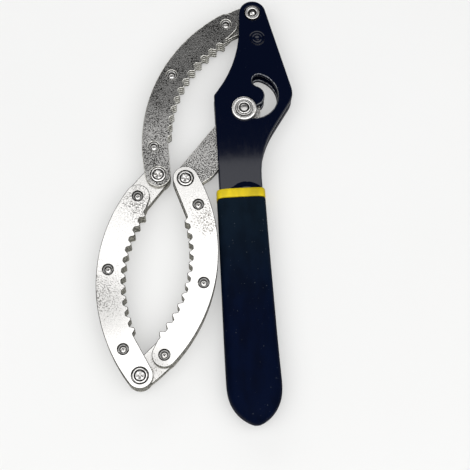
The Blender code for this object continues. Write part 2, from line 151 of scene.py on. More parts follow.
def filleted(corners, step=9.0):
    """Closed outline from (x, y, fillet radius) corners, one point every few degrees of turn."""
    points = []
    for i, (x, y, radius) in enumerate(corners):
        if radius == 0:
            points.append((x, y))
            continue
        here = Vector((x, y))
        before = (Vector(corners[i - 1][:2]) - here).normalized()
        after = (Vector(corners[(i + 1) % len(corners)][:2]) - here).normalized()
        half = before.angle(after) / 2
        centre = here + (before + after).normalized() * radius / math.sin(half)
        first = here + before * radius / math.tan(half)
        last = here + after * radius / math.tan(half)
        start = bearing(centre, first)
        turn = (bearing(centre, last) - start + 180) % 360 - 180
        points += arc(centre, radius, start, start + turn, max(3, round(abs(turn) / step)))
    return points


def circle(place, radius, count=48):
    """Hole outline: clockwise, so that the material is always on the left of the way round."""
    return [polar(place, radius, -360 * i / count) for i in range(count)]


def moved_in(points, depth):
    """A loop moved into the material, which is on its left."""
    out = []
    for i, point in enumerate(points):
        here, last = Vector(point), Vector(points[i - 1])
        following = Vector(points[(i + 1) % len(points)])
        one = (here - last).normalized()
        two = (following - here).normalized()
        first, second = Vector((-one.y, one.x)), Vector((-two.y, two.x))
        out.append(here + (first + second) * depth / (1 + first.dot(second)))
    return out


# ---- meshes ----------------------------------------------------------------------------------------
def finished(bm):
    """Mesh from a bmesh in millimetres: outward faces, smooth but for sharp edges."""
    bmesh.ops.remove_doubles(bm, verts=bm.verts, dist=1e-5)
    bmesh.ops.recalc_face_normals(bm, faces=bm.faces)
    for face in bm.faces:
        face.smooth = True
    limit = math.radians(SHARP_ANGLE)
    cap = bm.faces.layers.int.get("cap")
    for edge in bm.edges:
        faces = edge.link_faces
        if len(faces) == 2:
            rim = cap is not None and faces[0][cap] != faces[1][cap]
            edge.smooth = not rim and edge.calc_face_angle(0) < limit
    mesh = bpy.data.meshes.new("mesh")
    bm.to_mesh(mesh)
    bm.free()
    return mesh


RIM, WALL = 1, 2                # material places of a plate's edge; its faces have place 0
SLOT_RIM, SLOT_WALL = 3, 4


def slab(loops, low, high, round_off, steps=3, press=None, cuts=(), slot_loop=None):
    """Plate between two heights with rounded edges.

    The first loop is anticlockwise and the holes clockwise. press(x, y) is how far points of
    the upper half rise, and cuts are the planes that give the flat faces points to move. The
    edge of slot_loop gets its own materials."""
    bm = bmesh.new()
    cap = bm.faces.layers.int.new("cap")
    turns = [math.pi / 2 * i / steps for i in range(steps + 1)]
    levels = [(round_off * (1 - math.sin(t)), low + round_off * (1 - math.cos(t))) for t in turns]
    levels += [(inset, low + high - z) for inset, z in reversed(levels)]
    ends = [[], []]
    for loop in loops:
        rings = []
        for inset, z in levels:
            rings.append([bm.verts.new((x, y, z)) for x, y in moved_in(loop, inset)])
        for step, (lower, upper) in enumerate(zip(rings, rings[1:])):
            for i in range(len(loop)):
                j = (i + 1) % len(loop)
                face = bm.faces.new((lower[i], lower[j], upper[j], upper[i]))
                if loop is slot_loop:
                    face.material_index = SLOT_WALL if step == steps else SLOT_RIM
                else:
                    face.material_index = WALL if step == steps else RIM
        ends[0].append(rings[0])
        ends[1].append(rings[-1])
    for label, loop_verts in enumerate(ends, 1):
        flat = [vert for ring in loop_verts for vert in ring]
        for a, b, c in tessellate_polygon([[v.co for v in ring] for ring in loop_verts]):
            bm.faces.new((flat[a], flat[b], flat[c]))[cap] = label
    for place, normal in cuts:
        everything = bm.verts[:] + bm.edges[:] + bm.faces[:]
        bmesh.ops.bisect_plane(bm, geom=everything, plane_co=(*place, 0), plane_no=(*normal, 0))
    if press:
        for vert in bm.verts:
            if vert.co.z > (low + high) / 2:
                vert.co.z += press(vert.co.x, vert.co.y)
    return finished(bm)


def turned(profile, segments=64, warp=None, zone=None):
    """Mesh turned about Z from (radius, height) points.

    warp(radius, angle) is how far points move towards the middle plane, and zone(radius,
    angle) picks a face's material."""
    bm = bmesh.new()
    rings = []
    for radius, height in profile:
        if radius == 0:
            rings.append([bm.verts.new((0, 0, height))])
            continue
        ring = []
        for i in range(segments):
            angle = 2 * math.pi * i / segments
            sink = math.copysign(warp(radius, angle), height) if warp else 0
            ring.append(bm.verts.new((radius * math.cos(angle), radius * math.sin(angle),
                                      height - sink)))
        rings.append(ring)
    pairs = list(zip(rings, rings[1:]))
    if profile[0][0] != 0:
        pairs.append((rings[-1], rings[0]))
    for low, high in pairs:
        for i in range(segments):
            j = (i + 1) % segments
            if len(low) == 1:
                bm.faces.new((low[0], high[j], high[i]))
            elif len(high) == 1:
                bm.faces.new((low[i], low[j], high[0]))
            else:
                bm.faces.new((low[i], low[j], high[j], high[i]))
    if zone:
        for face in bm.faces:
            middle = face.calc_center_median()
            face.material_index = zone(math.hypot(middle.x, middle.y), math.atan2(middle.y, middle.x))
    return finished(bm)


def loft(rings, closed=False):
    """Mesh through rings of points of equal length, capped at its ends or closed on itself."""
    bm = bmesh.new()
    made = [[bm.verts.new(point) for point in ring] for ring in rings]
    for low, high in zip(made, made[1:] + made[:1] if closed else made[1:]):
        for i in range(len(low)):
            j = (i + 1) % len(low)
            bm.faces.new((low[i], low[j], high[j], high[i]))
    if not closed:
        bm.faces.new(list(reversed(made[0])))
        bm.faces.new(made[-1])
    return finished(bm)


def smooth_profile(points, steps=5):
    """Catmull-Rom curve through (radius, height) points, ends included."""
    out = []
    for i in range(len(points) - 1):
        p0, p1 = Vector(points[max(i - 1, 0)]), Vector(points[i])
        p2, p3 = Vector(points[i + 1]), Vector(points[min(i + 2, len(points) - 1)])
        for k in range(steps):
            t = k / steps
            out.append(tuple(0.5 * (2 * p1 + (p2 - p0) * t + (2 * p0 - 5 * p1 + 4 * p2 - p3) * t * t
                                    + (3 * p1 - p0 - 3 * p2 + p3) * t ** 3)))
    return [(max(r, 0), z) for r, z in out] + [tuple(points[-1])]


# ---- placing ---------------------------------------------------------------------------------------
def joint_place(name):
    for joint in frame["record"]["behaviour"]["joints"]:
        if joint["name"] == name:
            return Vector(joint["pos_m"])


def link_matrix(start, end):
    """From a link's own frame in millimetres to the part's frame in metres."""
    turn = math.atan2(end.y - start.y, end.x - start.x)
    return Matrix.Translation(start) @ Matrix.Rotation(turn, 4, "Z") @ Matrix.Scale(MM, 4)


bolt_low, bolt_high = (Vector(corner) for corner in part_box("slot_bolt"))
bolt_place = (bolt_low + bolt_high) / 2
pivots = [joint_place(n) for n in ("top_pivot", "jaw_ab_pivot", "jaw_bc_pivot", "tail_pivot")]
bolt_place.z = pivots[0].z
LINKS = {
    "jaw_a": link_matrix(pivots[0], pivots[1]),
    "jaw_b": link_matrix(pivots[1], pivots[2]),
    "jaw_c": link_matrix(pivots[2], pivots[3]),
    "tail_link": link_matrix(pivots[3], bolt_place),
    "handle": Matrix.Translation(Vector((*HANDLE_PLACE, HALF_HEIGHT)) * MM) @ Matrix.Scale(MM, 4),
}


def linked(name, data):
    """An object of the scene that shows a mesh, light or camera."""
    made = bpy.data.objects.new(name, data)
    bpy.context.scene.collection.objects.link(made)
    return made


def piece(name, mesh, body, finish, nodes, place=(0, 0)):
    """A visible piece on a body, standing for CAD nodes."""
    own = mesh.copy()
    own.name = name
    own.transform(LINKS[body] @ Matrix.Translation((*place, 0)))
    for material in finish if isinstance(finish, tuple) else (finish,) * 3:
        own.materials.append(material)
    made = linked(name, own)
    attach(made, body)
    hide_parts(*nodes)
    return made


# ---- materials -------------------------------------------------------------------------------------
class Nodes:
    """Short ways to add and wire shader nodes."""

    def __init__(self, name):
        self.material = bpy.data.materials.new(name)
        self.material.use_nodes = True
        self.tree = self.material.node_tree
        self.shader = self.tree.nodes["Principled BSDF"]
        self.coords = self.tree.nodes.new("ShaderNodeTexCoord").outputs["Object"]

    def add(self, kind, **values):
        node = self.tree.nodes.new(kind)
        for key, value in values.items():
            setattr(node, key, value)
        return node

    def wire(self, source, target):
        self.tree.links.new(source, target)

    def noise(self, size_mm, detail, roughness, stretch=(1, 1, 1), offset=(0, 0, 0)):
        """Noise whose features are about size_mm across."""
        mapping = self.add("ShaderNodeMapping")
        mapping.inputs["Scale"].default_value = stretch
        mapping.inputs["Location"].default_value = offset
        self.wire(self.coords, mapping.inputs["Vector"])
        noise = self.add("ShaderNodeTexNoise")
        noise.inputs["Scale"].default_value = 1 / (size_mm * MM)
        noise.inputs["Detail"].default_value = detail
        noise.inputs["Roughness"].default_value = roughness
        self.wire(mapping.outputs["Vector"], noise.inputs["Vector"])
        return noise.outputs["Fac"]

    def ramp(self, value, low, high, to_low=0.0, to_high=1.0):
        node = self.add("ShaderNodeMapRange", interpolation_type="SMOOTHSTEP")
        for key, number in zip(("From Min", "From Max", "To Min", "To Max"),
                               (low, high, to_low, to_high)):
            node.inputs[key].default_value = number
        self.wire(value, node.inputs["Value"])
        return node.outputs["Result"]

    def maths(self, operation, one, two):
        node = self.add("ShaderNodeMath", operation=operation)
        for socket, value in zip(node.inputs, (one, two)):
            if isinstance(value, (int, float)):
                socket.default_value = value
            else:
                self.wire(value, socket)
        return node.outputs[0]

    def mix(self, factor, one, two):
        node = self.add("ShaderNodeMix", data_type="RGBA")
        colour_inputs = [s for s in node.inputs if s.type == "RGBA"]
        factor_input = [s for s in node.inputs if s.type == "VALUE"][0]
        self.wire(factor, factor_input)
        for socket, value in zip(colour_inputs, (one, two)):
            if isinstance(value, tuple):
                socket.default_value = (*value, 1)
            else:
                self.wire(value, socket)
        return [s for s in node.outputs if s.type == "RGBA"][0]

    def bump(self, height, depth_mm, strength, after=None):
        node = self.add("ShaderNodeBump")
        node.inputs["Distance"].default_value = depth_mm * MM
        node.inputs["Strength"].default_value = strength
        self.wire(height, node.inputs["Height"])
        if after is not None:
            self.wire(after, node.inputs["Normal"])
        return node.outputs["Normal"]

    def set(self, **values):
        for key, value in values.items():
            socket = self.shader.inputs[key.replace("_", " ")]
            if isinstance(value, (int, float)):
                socket.default_value = value
            elif isinstance(value, tuple):
                socket.default_value = (*value, 1)
            else:
                self.wire(value, socket)


def spots(n, places, near, far):
    """1 near any of the (x, y, reach) places in the part's frame, metres, fading to 0."""
    out = None
    for x, y, reach in places:
        gap = n.add("ShaderNodeVectorMath", operation="DISTANCE")
        n.wire(n.coords, gap.inputs[0])
        gap.inputs[1].default_value = (x, y, FACE_HEIGHT * MM)
        spot = n.ramp(gap.outputs["Value"], reach * near, reach * far, 1.0, 0.0)
        out = spot if out is None else n.maths("MAXIMUM", out, spot)
    return out


SHARE_SPREAD = 0.035        # how much the share of dents wanders either way
DULL_SHARE = 0.26           # how much larger the share is in dull places than elsewhere


def tumbled_steel(name, light, dark, grain, coverage, dull=(), shaded=(), shade=0.5,
                  tint=(1.0, 0.985, 0.96), stain=(1.0, 0.97, 0.92)):
    """Plated sheet steel tumbled with stones: fine dark dents in bright metal.

    Coverage raises or lowers the share of dents. Given dull places, only those have that share
    and the rest has fewer. Near its shaded places the brighter tone fades to the shade tone,
    which is painted shade."""
    n = Nodes(name)
    pepper = n.noise(grain, 2.0, 0.6)
    share = n.ramp(n.noise(11.0, 3.0, 0.6), 0.34, 0.66,
                   coverage - SHARE_SPREAD, coverage + SHARE_SPREAD)
    if dull:
        extra = n.maths("MULTIPLY", spots(n, dull, 0.0, 1.3), DULL_SHARE)
        share = n.maths("SUBTRACT", n.maths("ADD", share, extra), DULL_SHARE)
    specks = n.ramp(n.maths("ADD", pepper, share), 0.46, 0.60)
    base = tuple(light * t for t in tint)
    # Painted shade: near the shaded places the brighter tone is darkened towards the shade tone.
    if shaded:
        base = n.mix(spots(n, shaded, 0.1, 1.3), base, tuple(shade * t for t in tint))
    n.set(Base_Color=n.mix(specks, base, tuple(dark * t for t in stain)), Metallic=1.0,
          Roughness=n.ramp(pepper, 0.3, 0.7, 0.20, 0.34))
    waves = n.bump(n.noise(8.0, 2.0, 0.5), 0.03, 0.5)
    n.set(Normal=n.bump(specks, 0.030, 0.8, after=waves))
    return n.material


def sheared_edge(name, light, dark):
    """Stamped edge of a plate: torn grain across the thickness, dull and a little oily."""
    n = Nodes(name)
    torn = n.noise(0.8, 3.0, 0.65, stretch=(1, 1, 0.35))
    tone = n.mix(n.ramp(torn, 0.38, 0.62), light, dark)
    n.set(Base_Color=tone, Metallic=1.0, Roughness=n.ramp(torn, 0.3, 0.7, 0.34, 0.5),
          Normal=n.bump(torn, 0.05, 0.8))
    return n.material


def rivet_steel(name, light, rough):
    """Formed rivet heads: fine grain and a little dirt."""
    n = Nodes(name)
    fine = n.noise(0.35, 3.0, 0.6)
    dirt = n.ramp(n.noise(1.6, 2.0, 0.6), 0.56, 0.72)
    tone = n.mix(dirt, (light, light * 0.985, light * 0.96),
                 (light * 0.45, light * 0.42, light * 0.38))
    n.set(Base_Color=tone, Metallic=1.0, Roughness=n.ramp(fine, 0.3, 0.7, rough, rough + 0.12),
          Normal=n.bump(fine, 0.02, 0.7))
    return n.material


def gloss_paint(name, rough, specular):
    """Baked paint: blue-black, with slight orange peel and runs, fine scuffs and dust."""
    n = Nodes(name)
    peel = n.noise(1.7, 2.0, 0.5)
    runs = n.noise(2.2, 3.0, 0.6, stretch=(1, 0.12, 1))
    scuff = n.ramp(n.noise(3.0, 4.0, 0.7, stretch=(1, 0.3, 1)), 0.45, 0.75)
    dust = n.ramp(n.noise(0.55, 1.0, 0.4, offset=(4, 4, 4)), 0.80, 0.84)
    base = n.mix(dust, (0.0002, 0.0017, 0.0100), (0.04, 0.045, 0.055))
    n.set(Base_Color=base, Roughness=n.ramp(scuff, 0, 1, rough, rough + 0.03),
          Normal=n.bump(peel, 0.003, 0.30, after=n.bump(runs, 0.004, 0.5)))
    n.shader.inputs["Specular IOR Level"].default_value = specular
    return n.material


def dipped_vinyl(name, colour, top_colour, pale, rough, specular):
    """Soft dipped vinyl: matt, fine pores, faint streaks along the dip, dust specks."""
    n = Nodes(name)
    pores = n.noise(0.45, 3.0, 0.6)
    waves = n.noise(6.0, 2.0, 0.5, stretch=(1, 0.4, 1))
    dust = n.ramp(n.noise(0.7, 1.0, 0.3, offset=(5, 2, 8)), 0.775, 0.80)
    split = n.add("ShaderNodeSeparateXYZ")
    n.wire(n.coords, split.inputs[0])
    tone = n.mix(n.ramp(split.outputs["Y"], -0.06, 0.0), colour, top_colour)
    tone = n.mix(n.maths("MULTIPLY", n.ramp(waves, 0.35, 0.7), 0.35), tone, (0.0, 0.0, 0.0))
    tone = n.mix(n.maths("MULTIPLY", dust, 0.6), tone, pale)
    n.set(Base_Color=tone, Roughness=n.ramp(pores, 0.3, 0.7, rough - 0.05, rough + 0.08),
          Normal=n.bump(pores, 0.012, 0.6, after=n.bump(waves, 0.05, 0.5)))
    n.shader.inputs["Specular IOR Level"].default_value = specular
    return n.material


def on_jaw(letter, x, y, reach):
    """A spot's place in the part's frame from its place along a jaw, with its reach, metres."""
    place = LINKS["jaw_" + letter] @ Vector((x, y, 0))
    return (place.x, place.y, reach)


paint = gloss_paint("gloss_black_paint", 0.055, 0.40)
paint_edge = gloss_paint("black_paint_edge", 0.35, 0.15)
slot_wall = gloss_paint("dull_slot_wall", 0.60, 0.02)
grip_vinyl = dipped_vinyl("grip_vinyl", (0.0004, 0.0027, 0.0150), (0.0034, 0.0090, 0.0170),
                          (0.12, 0.14, 0.16), 0.60, 0.03)
ring_vinyl = dipped_vinyl("ring_vinyl", (0.70, 0.53, 0.004), (0.70, 0.53, 0.004),
                          (0.60, 0.50, 0.16), 0.48, 0.25)
# Jaw A is the same plated steel as jaws B and C; its darker grey tone is painted shade, and so are
# the shaded places given to each jaw.
jaw_a_painted_shade_steel = tumbled_steel("grey_painted_shade_steel", 0.33, 0.030, 0.60, 0.0,
                            shaded=(on_jaw("a", 82, -10, 0.017), on_jaw("a", 104, 0, 0.006)),
                            shade=0.54)
jaw_b_steel = tumbled_steel("bright_tumbled_steel_b", 0.74, 0.20, 0.60, -0.02,
                            dull=(on_jaw("b", 15, -9, 0.018), on_jaw("b", 62, -24, 0.020)),
                            shaded=(on_jaw("b", 68, -20, 0.022),), shade=0.46)
jaw_c_steel = tumbled_steel("bright_tumbled_steel_c", 0.76, 0.20, 0.60, -0.02,
                            dull=(on_jaw("c", 82, -14, 0.016), on_jaw("c", 2, -4, 0.014)),
                            shaded=(on_jaw("c", 6, -4, 0.013),), shade=0.45,
                            stain=(1.0, 0.90, 0.78))
# The tail link is the same plated steel, given a darker tone as painted shade.
tail_steel = tumbled_steel("grainy_painted_shade_tail_steel", 0.51, 0.045, 0.60, 0.0)
bright_edge = sheared_edge("sheared_bright_edge", (0.42, 0.41, 0.34), (0.12, 0.115, 0.09))
dull_edge = sheared_edge("sheared_dull_edge", (0.22, 0.215, 0.18), (0.06, 0.058, 0.045))
worn_rim = sheared_edge("worn_bright_rim", (0.90, 0.89, 0.84), (0.45, 0.44, 0.40))
slot_rim = sheared_edge("worn_slot_rim", (0.22, 0.23, 0.25), (0.05, 0.053, 0.06))
# Painted shade: a dark outline on the rounded rims of jaws B and C.
painted_shade_rim = sheared_edge("painted_shade_rim_edge", (0.07, 0.068, 0.060), (0.025, 0.024, 0.020))
bright_head = rivet_steel("bright_rivet_steel", 0.85, 0.22)
grey_head = rivet_steel("grey_rivet_steel", 0.42, 0.26)
brown_head = rivet_steel("brown_rivet_steel", 0.27, 0.30)
# Painted shade for the rivets' holes, grooves, pit walls and outer edges.
recess_shade_steel = rivet_steel("recess_painted_shade_steel", 0.045, 0.42)
# Rivet material places: plain tone, painted shade, and bright steel for the painted highlights.
pivot_steels = (grey_head, recess_shade_steel, bright_head)


# ---- jaws ------------------------------------------------------------------------------------------
def jaw_outline():
    """Outline of a jaw plate with its eye at the far pivot, anticlockwise."""
    edge_centre = (PIVOT_SPAN / 2, EDGE_CENTRE_Y)
    root_centre = (PIVOT_SPAN / 2, ROOT_CENTRE_Y)
    eye = (PIVOT_SPAN, 0)
    edge_radius = math.dist(edge_centre, eye) + EYE_RADIUS
    foot = JAW_RIVETS[0]
    foot_radius = edge_radius - math.dist(edge_centre, foot)
    tooth_round, root_round = 0.5, 0.55
    corners = []
    first = 270 - TOOTH_PITCH * TOOTH_COUNT / 2
    for i in range(TOOTH_COUNT + 1):
        root = first + TOOTH_PITCH * i
        for side in (-ROOT_FLAT, ROOT_FLAT):
            corners.append((*polar(root_centre, ROOT_RADIUS, root + side), root_round))
        if i < TOOTH_COUNT:
            tip = root + TOOTH_PITCH / 2
            for side in (-TIP_FLAT, TIP_FLAT):
                corners.append((*polar(root_centre, ROOT_RADIUS - TOOTH_DEPTH, tip + side),
                                tooth_round))
    eye_start = tangent_angle(corners[-1][:2], eye, EYE_RADIUS, -1)
    eye_end = bearing(edge_centre, eye)
    while eye_start < eye_end:
        eye_start += 360
    corners += [(*p, 0) for p in arc(eye, EYE_RADIUS, eye_start, eye_end, 30)]
    foot_start = bearing(edge_centre, foot)
    corners += [(*p, 0) for p in arc(edge_centre, edge_radius, eye_end, foot_start, 44)[1:-1]]
    foot_end = tangent_angle(corners[0][:2], foot, foot_radius, 1)
    while foot_end > foot_start:
        foot_end -= 360
    corners += [(*p, 0) for p in arc(foot, foot_radius, foot_start, foot_end, 26)]
    return list(reversed(filleted(corners, 14.0)))


def head_profile(shank, head, floor, crown, round_off=0.12):
    """Closed profile of a two-headed rivet whose crown runs from the rim to the middle."""
    rim = crown[0][1]
    edge = [(head, floor)] + [(head - round_off * (1 - math.cos(t)), rim - round_off
                               + round_off * math.sin(t))
                              for t in (0, math.pi / 6, math.pi / 3, math.pi / 2)]
    half = [(shank, floor)] + edge + [(r, z) for r, z in crown if r < head - round_off]
    lower = [(r, -z) for r, z in reversed(half)]
    return lower + half


SINK = 0.28                 # jaw rivet heads below the plate's face
PIT_DEPTH = 1.7             # of the punched pit in a jaw rivet
sunk = OUTER_TOP - SINK
rivet_crown = smooth_profile([(2.33, sunk), (1.95, sunk + 0.02), (1.70, sunk - 0.12),
                              (1.50, sunk - 0.60), (1.32, sunk - 1.30),
                              (1.15, sunk - PIT_DEPTH), (0.75, sunk - PIT_DEPTH + 0.07),
                              (0.42, sunk - PIT_DEPTH + 0.15), (0.30, sunk - PIT_DEPTH - 0.1),
                              (0.0, sunk - PIT_DEPTH - 0.2)])
# Material places of a rivet: plain tone, painted shade, painted highlight.
MAIN, PAINTED_SHADE, PAINTED_HIGHLIGHT = 0, 1, 2         # material places of a rivet
PIT_HOLE, PIT_FLOOR, PIT_WALL, HEAD_RIM = 0.36, 1.22, 1.62, 2.24    # outer radii of its tones


def rivet_zone(radius, angle):
    """Painted shade in the hole, painted highlight on the pit floor, painted shade on the pit wall
    and past the rim, plain rim.
    """
    if radius < PIT_HOLE:
        return PAINTED_SHADE
    if radius < PIT_FLOOR:
        return PAINTED_HIGHLIGHT
    return PAINTED_SHADE if radius < PIT_WALL or radius > HEAD_RIM else MAIN


def wedge_marks(radius, angle):
    """Two punched wedges, on opposite sides of a rivet's pit."""
    reach = math.exp(-((radius - 1.9) / 0.3) ** 2)
    return 0.10 * reach * max(0.0, math.cos(2 * angle + 0.6)) ** 3 if radius > 0.2 else 0.0


pivot_top = OUTER_TOP + 0.35
pivot_crown = smooth_profile([(3.62, pivot_top - 0.22), (3.30, pivot_top), (2.95, pivot_top - 0.02),
                              (2.70, pivot_top - 0.50), (2.45, pivot_top - 0.55),
                              (2.20, pivot_top - 0.20), (1.55, pivot_top - 0.05),
                              (0.95, pivot_top - 0.12), (0.45, pivot_top - 0.50),
                              (0.0, pivot_top - 0.62)])


# A pivot's bright ring and lobes are painted highlight; its groove and outer edge are painted shade.
STAKE_RADIUS = 2.15                     # of a pivot's grey middle
PIVOT_RING = (2.80, 3.56)               # its bright ring, inner and outer radius


def cross_lobe(radius, angle):
    """1 on the four lobes of a pivot's staking mark, 0 between them."""
    return (0.5 + 0.5 * math.cos(4 * angle + math.pi)) ** 2 if 0.1 < radius < 2.2 else 0.0


def cross_marks(radius, angle):
    """Staking that sinks the metal between a pivot's four lobes."""
    reach = math.exp(-((radius - 1.1) / 0.6) ** 2)
    return 0.20 * reach * (1 - cross_lobe(radius, angle)) if 0.1 < radius < 2.2 else 0.0


def pivot_zone(radius, angle):
    """Painted highlight on a ring and on four lobes of the grey middle; painted shade in the groove
    between them and outside the ring.
    """
    if radius < STAKE_RADIUS:
        return PAINTED_HIGHLIGHT if cross_lobe(radius, angle) > 0.25 + 0.35 * radius / 2 else MAIN
    return PAINTED_HIGHLIGHT if PIVOT_RING[0] < radius < PIVOT_RING[1] else PAINTED_SHADE


JAW_RIVET = (2.0, 2.36)                 # radii of a rivet's shank and head
PIVOT_RIVET = (2.9, 3.74)
SPACER_RIVET = (2.3, 3.42)
outline = jaw_outline()
flipped = [(PIVOT_SPAN - x, y) for x, y in reversed(outline)]
rivet_mesh = turned(head_profile(*JAW_RIVET, OUTER_TOP - 0.9, rivet_crown), 48, wedge_marks,
                    rivet_zone)
pivot_mesh = turned(head_profile(*PIVOT_RIVET, OUTER_TOP - 0.7, pivot_crown), 72, cross_marks,
                    pivot_zone)
EDGE_ROUND = 0.30
OUTER_HOLES = (2.62, 4.02)              # radii of an outer plate's rivet holes and pivot hole
INNER_HOLES = (2.1, 3.2)                # and of an inner plate's
outer_loops = ([outline] + [circle(p, OUTER_HOLES[0]) for p in JAW_RIVETS]
               + [circle((PIVOT_SPAN, 0), OUTER_HOLES[1])])
inner_loops = ([flipped] + [circle(p, INNER_HOLES[0]) for p in JAW_RIVETS]
               + [circle((0, 0), INNER_HOLES[1])])
for letter, steel, rivet_rim, plate_slot in (
        ("a", (jaw_a_painted_shade_steel, worn_rim, dull_edge), grey_head, "grey_plate"),
        ("b", (jaw_b_steel, painted_shade_rim, bright_edge), brown_head, "bright_plate"),
        ("c", (jaw_c_steel, painted_shade_rim, bright_edge), brown_head, "bright_plate")):
    body = "jaw_" + letter
    for side, face in ((1, "front"), (-1, "back")):
        for layer, loops, low, high in (("outer", outer_loops, OUTER_LOW, OUTER_TOP),
                                        ("inner", inner_loops, INNER_LOW, INNER_TOP)):
            low, high = sorted((side * low, side * high))
            node = "%s_%s_%s_plate" % (body, layer, face)
            piece("look_" + node, slab(loops, low, high, EDGE_ROUND), body, steel, [node])
    for label, place in zip(("near", "middle", "far"), JAW_RIVETS):
        node = "%s_%s_rivet" % (body, label)
        piece("look_" + node, rivet_mesh, body, (rivet_rim, recess_shade_steel, bright_head), [node],
              place)
    node = body + "_pivot_rivet"
    piece("look_" + node, pivot_mesh, body, pivot_steels, [node],
          (PIVOT_SPAN, 0))


# ---- tail link, slot bolt and washers ------------------------------------------------------------
lower_start = tangent_angle(TAIL_SHOULDER, (0, 0), EYE_RADIUS, -1)
tail = [(*p, 0) for p in arc((0, 0), EYE_RADIUS, 90, lower_start + 360, 30)]
tail += [(*TAIL_SHOULDER, 4), (*TAIL_HEEL, 6)]
tail += [(*p, 0) for p in arc((TAIL_SPAN, 0), TAIL_END, -90, TAIL_END_TURN, 36)]
tail_loops = [filleted(tail), circle((0, 0), INNER_HOLES[1]),
              circle((TAIL_SPAN, 0), INNER_HOLES[1])]
for side, face in ((1, "front"), (-1, "back")):
    low, high = sorted((side * INNER_LOW, side * INNER_TOP))
    node = "tail_link_%s_plate" % face
    piece("look_" + node, slab(tail_loops, low, high, EDGE_ROUND), "tail_link",
          (tail_steel, worn_rim, dull_edge), [node])

washer_low = HANDLE_TOP + GAP
head_low = washer_low + FRONT_WASHER + GAP
collar = washer_low + BACK_WASHER + GAP
crown = smooth_profile([(4.4, head_low + 0.10), (4.20, head_low + 0.42), (3.75, head_low + 0.50),
                        (3.48, head_low + 0.45), (3.34, head_low + 0.25), (3.20, head_low + 0.50),
                        (2.85, head_low + 0.56), (2.60, head_low + 0.45), (2.35, head_low + 0.02),
                        (2.10, head_low + 0.10), (1.90, head_low + 0.50), (1.2, head_low + 0.80),
                        (0.0, head_low + 0.92)])


# The bolt head's bright ring is painted highlight; its grooves and outer edge are painted shade.
BOLT_DOME = 1.90                        # radius of the bolt head's dome
BOLT_RINGS = ((2.60, 3.24), (3.48, 4.18))   # its bright and its grey ring, inner and outer radius


def bolt_zone(radius, angle):
    """Grey outer ring and dome, a ring of painted highlight between two grooves of painted shade, and
    painted shade outside the grey ring.
    """
    bright, grey = BOLT_RINGS
    if radius < BOLT_DOME or grey[0] < radius < grey[1]:
        return MAIN
    return PAINTED_HIGHLIGHT if bright[0] < radius < bright[1] else PAINTED_SHADE


bolt = [(0, -head_low - 0.1), (3.2, -head_low - 0.1), (3.9, -head_low - 0.02), (4.2, -head_low + 0.2),
        (4.2, -collar), (BOLT_SHANK, -collar), (BOLT_SHANK, head_low), (4.4, head_low)] + crown
at_bolt = (TAIL_SPAN, 0)
piece("look_slot_bolt", turned(bolt, zone=bolt_zone), "tail_link", pivot_steels,
      ["slot_bolt"], at_bolt)
inner = BOLT_SHANK + GAP
for face, side, thick in (("front", 1, FRONT_WASHER), ("back", -1, BACK_WASHER)):
    top = washer_low + thick
    rim = [(inner, washer_low), (WASHER_RADIUS - 0.1, washer_low), (WASHER_RADIUS, washer_low + 0.1),
           (WASHER_RADIUS, top - 0.30), (WASHER_RADIUS - 0.06, top - 0.14),
           (WASHER_RADIUS - 0.16, top - 0.04), (WASHER_RADIUS - 0.32, top),
           (5.1, top + 0.01), (4.75, top - 0.03), (inner + 0.1, top - 0.05), (inner, top - 0.15)]
    node = "slot_washer_" + face
    piece("look_" + node, turned([(r, side * z) for r, z in rim]), "tail_link", bright_head, [node],
          at_bolt)


# ---- handle ----------------------------------------------------------------------------------------
def handle_outline():
    """Outline of a handle plate from the head down to the tang inside the grip."""
    head_left = tangent_angle(HEAD_LEFT, TOP_PIVOT, HEAD_RADIUS, -1)
    head_right = tangent_angle(HEAD_RIGHT, TOP_PIVOT, HEAD_RADIUS, 1)
    while head_left < head_right:
        head_left += 360
    point = TANG_END + TANG_POINT
    corners = [
        (*HEAD_LEFT, 60), (NECK_LEFT, SHOULDER_LEFT, 2.5), (NECK_LEFT, NECK_TOP, 2),
        (-TANG_HALF, TANG_TOP, 2), (-TANG_HALF, point, 14), (0, TANG_END, 3),
        (TANG_HALF, point, 14), (TANG_HALF, TANG_TOP, 2), (NECK_RIGHT, NECK_TOP, 2),
        (NECK_RIGHT, NECK_BEND, 46), (*HEAD_RIGHT, 11),
    ]
    left = polar(TOP_PIVOT, HEAD_RADIUS, head_left)
    right = polar(TOP_PIVOT, HEAD_RADIUS, head_right)
    body = filleted([(*left, 0)] + corners + [(*right, 0)], 5.0)
    cap = arc(TOP_PIVOT, HEAD_RADIUS, head_right, head_left, 40)
    return body + cap[1:-1]


def slot_outline():
    """Closed outline of the arc-shaped slot, clockwise."""
    radius = math.dist(SLOT_CENTRE, BOLT_SEAT)
    low = bearing(SLOT_CENTRE, BOLT_SEAT)
    top = polar(SLOT_CENTRE, radius, SLOT_TOP_ANGLE)
    loop = (arc(SLOT_CENTRE, radius + SLOT_HALF, low, SLOT_TOP_ANGLE, 48)
            + arc(top, SLOT_HALF, SLOT_TOP_ANGLE, SLOT_TOP_ANGLE + 180, 18)[1:]
            + arc(SLOT_CENTRE, radius - SLOT_HALF, SLOT_TOP_ANGLE, low, 40)[1:]
            + arc(BOLT_SEAT, SLOT_HALF, low + 180, low + 360, 18)[1:-1])
    area = sum(a[0] * b[1] - a[1] * b[0] for a, b in zip(loop, loop[1:] + loop[:1]))
    return list(reversed(loop)) if area > 0 else loop


